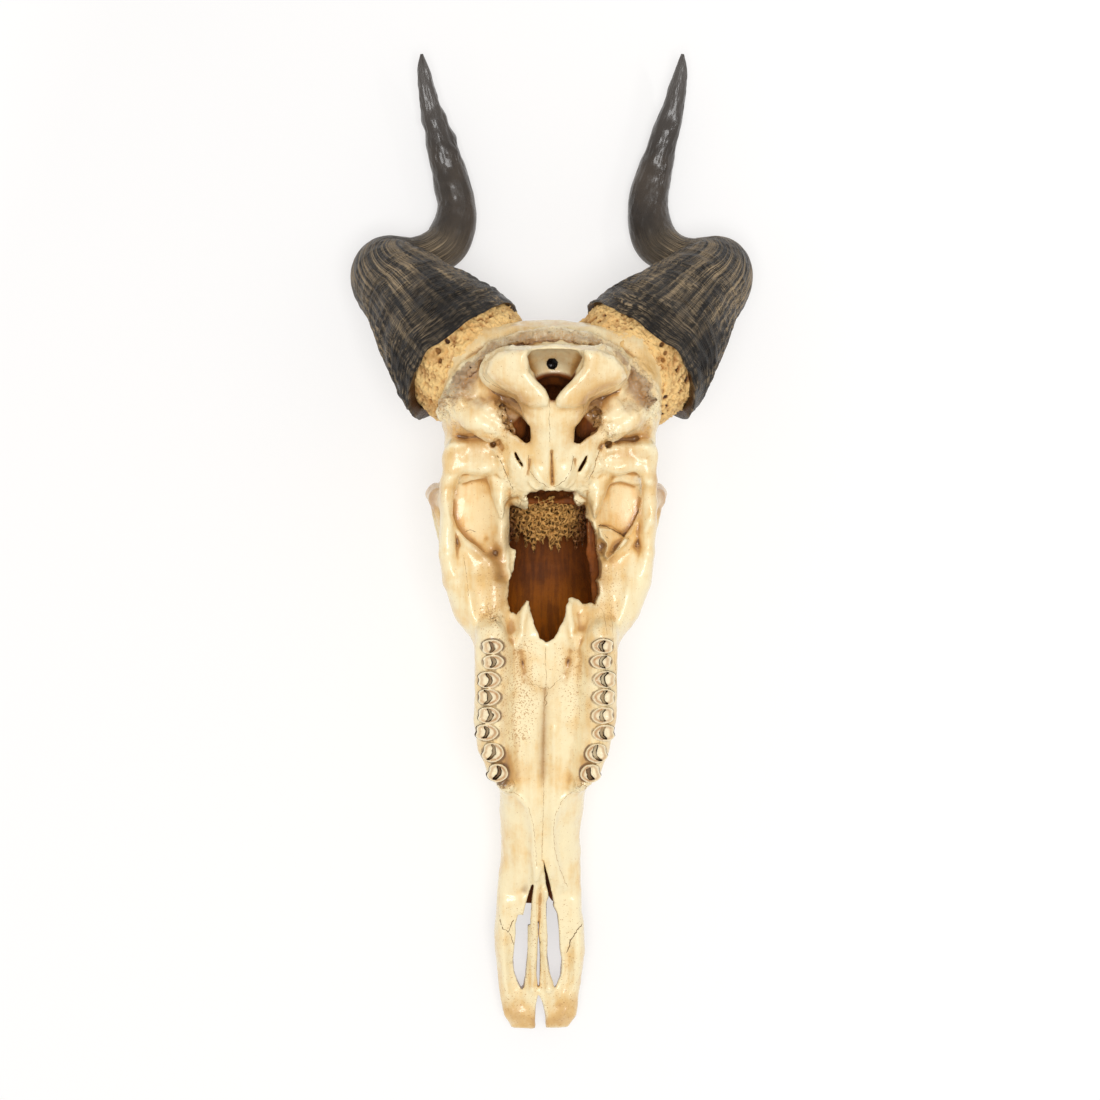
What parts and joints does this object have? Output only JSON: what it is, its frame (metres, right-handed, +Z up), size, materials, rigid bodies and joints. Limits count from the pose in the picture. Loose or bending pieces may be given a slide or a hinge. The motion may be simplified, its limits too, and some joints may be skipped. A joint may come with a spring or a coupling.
{
  "type": "hartebeest skull",
  "caption": "Antelope skull without lower jaw, lying on its forehead with the teeth up, with thick hooked horns, open throat and palate slits.",
  "frame": {"origin": "centre of the skull's length and width, on the floor that it lies on", "axes": "+Z up, out of the palate and skull base; +Y from the nose to the horn tips; +X towards the animal's right"},
  "size_m": [0.2338, 0.5704, 0.1706],
  "materials": {
    "bone": "varnished ivory bone",
    "horn": "dark polished horn with growth ridges",
    "tooth": "glossy stained enamel"
  },
  "bodies": {
    "root": {"cranium": "bone", "horn_sheath_left": "horn", "horn_sheath_right": "horn", "upper_molar_3_left": "tooth", "upper_molar_3_right": "tooth", "upper_molar_2_left": "tooth", "upper_molar_2_right": "tooth", "upper_molar_1_left": "tooth", "upper_molar_1_right": "tooth", "upper_premolar_4_left": "tooth", "upper_premolar_4_right": "tooth", "upper_premolar_3_left": "tooth", "upper_premolar_3_right": "tooth"}
  },
  "joints": []
}
